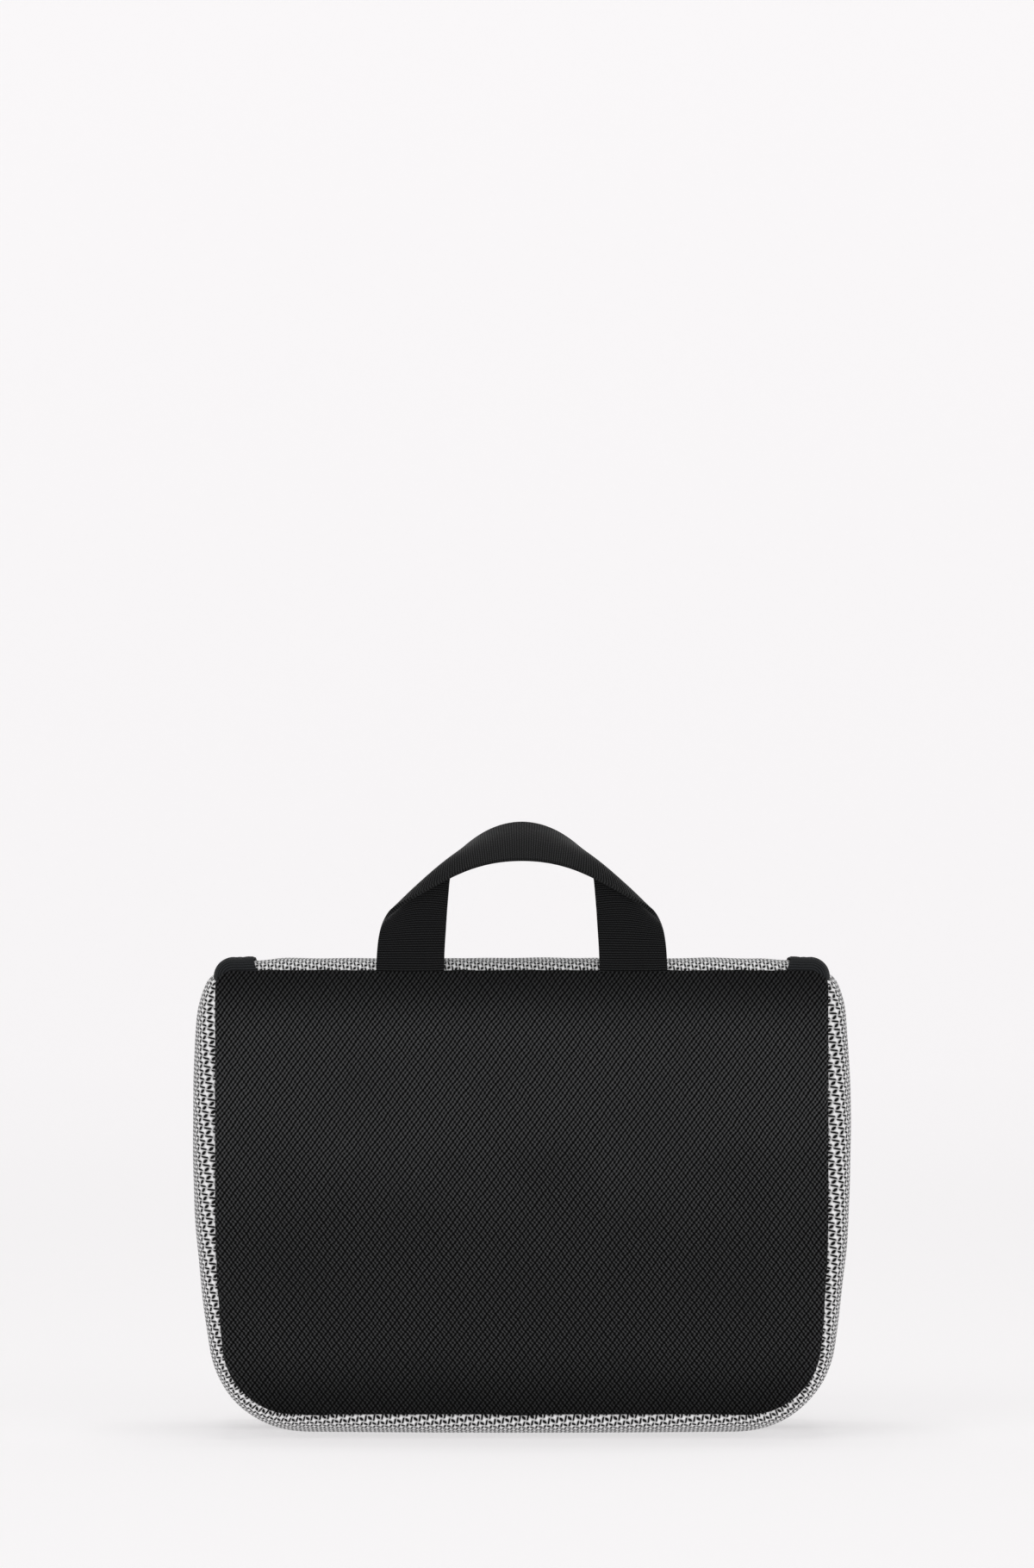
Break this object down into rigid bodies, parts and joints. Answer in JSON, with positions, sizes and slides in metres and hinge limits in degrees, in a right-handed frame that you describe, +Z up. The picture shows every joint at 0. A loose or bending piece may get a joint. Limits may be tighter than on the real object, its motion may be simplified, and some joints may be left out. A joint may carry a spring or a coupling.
{
  "type": "hanging toiletry bag",
  "caption": "Clamshell toiletry bag in black and silver woven fabric with a carry handle; it unzips, opens upwards and hangs from a folding swivel hook.",
  "frame": {"origin": "middle of the bag's footprint on the surface it stands on", "axes": "+Z up; -Y is the back panel with the carry handle, +Y is the lid; +X is to the right seen from behind"},
  "size_m": [0.23, 0.1, 0.214],
  "materials": {
    "panel_fabric": "black coarse woven fabric with raised floats",
    "silver_weave": "light grey and black basket weave",
    "webbing": "black ribbed webbing",
    "corner_ribbon": "dark ribbed ribbon",
    "lining": "smooth black lining",
    "foam": "foam padding inside the panels",
    "mesh": "black open mesh",
    "elastic": "black ribbed elastic",
    "zip_tape": "black zip tape",
    "zip_teeth": "black moulded zip teeth",
    "zip_metal": "dark lacquered zip slider",
    "hook_plastic": "black moulded hook",
    "mirror_frame": "black moulded frame",
    "mirror_glass": "mirror glass",
    "touch_fastener": "black hook-and-loop patch"
  },
  "bodies": {
    "main": {"back_panel": "panel_fabric", "back_panel_foam": "foam", "back_lining": "lining", "main_gusset": "silver_weave", "main_side_lining": "lining", "hinge_strip_rear": "silver_weave", "corner_ribbon_left_rear": "corner_ribbon", "corner_ribbon_right_rear": "corner_ribbon", "zip_tape_main": "zip_tape", "zip_teeth_main": "zip_teeth", "handle_leg_ends": "webbing", "elastic_loops": "elastic", "mesh_pocket": "mesh", "mesh_pocket_band": "elastic"},
    "handle": {"handle_webbing": "webbing"},
    "main_slider": {"main_zip_slider": "zip_metal"},
    "main_puller": {"main_zip_puller": "zip_metal"},
    "lid": {"front_panel": "panel_fabric", "front_panel_foam": "foam", "front_lining": "lining", "lid_gusset": "silver_weave", "lid_side_lining": "lining", "hinge_strip_front": "silver_weave", "corner_ribbon_left_front": "corner_ribbon", "corner_ribbon_right_front": "corner_ribbon", "zip_tape_lid": "zip_tape", "zip_teeth_lid": "zip_teeth", "pocket_binding": "lining", "pocket_mesh": "mesh", "pocket_zip_tape": "zip_tape", "pocket_zip_teeth": "zip_teeth", "lid_patch": "touch_fastener", "hook_strap_root": "webbing"},
    "pocket_slider": {"pocket_zip_slider": "zip_metal"},
    "pocket_puller": {"pocket_zip_puller": "zip_metal"},
    "mirror": {"mirror_frame": "mirror_frame", "mirror_glass": "mirror_glass", "mirror_patch": "touch_fastener"},
    "hook_strap": {"hook_strap": "webbing", "hook_socket": "hook_plastic"},
    "hook": {"hook": "hook_plastic"}
  },
  "joints": [
    {"name": "lid_hinge", "type": "hinge", "parent": "main", "child": "lid", "pos_m": [0, 0.012, 0.1678], "axis": [1, 0, 0], "range_deg": [0, 180]},
    {"name": "handle_swing", "type": "hinge", "parent": "main", "child": "handle", "pos_m": [0, -0.0499, 0.169], "axis": [1, 0, 0], "range_deg": [-60, 150]},
    {"name": "main_slider_travel", "type": "slide", "parent": "main", "child": "main_slider", "axis": [0, 0, -1], "range_m": [0, 0.095]},
    {"name": "main_puller_swing", "type": "hinge", "parent": "main_slider", "child": "main_puller", "pos_m": [0.1116, 0.012, 0.1465], "axis": [0, -1, 0], "range_deg": [0, 150]},
    {"name": "pocket_slider_travel", "type": "slide", "parent": "lid", "child": "pocket_slider", "axis": [-1, 0, 0], "range_m": [0, 0.136]},
    {"name": "pocket_puller_swing", "type": "hinge", "parent": "pocket_slider", "child": "pocket_puller", "pos_m": [0.068, 0.0368, 0.07], "axis": [0, 0, 1], "range_deg": [0, 150]},
    {"name": "mirror_pull", "type": "slide", "parent": "lid", "child": "mirror", "axis": [0, -1, 0], "range_m": [0, 0.03]},
    {"name": "hook_strap_turn", "type": "hinge", "parent": "lid", "child": "hook_strap", "pos_m": [0, 0.01, 0.0066], "axis": [1, 0, 0], "range_deg": [0, 180]},
    {"name": "hook_swivel", "type": "hinge", "parent": "hook_strap", "child": "hook", "pos_m": [0, 0.01, 0.05], "axis": [0, 0, 1], "continuous": true}
  ],
  "couplings": [
    {"joint": "hook_strap_turn", "follows": "lid_hinge", "ratio": 1}
  ]
}
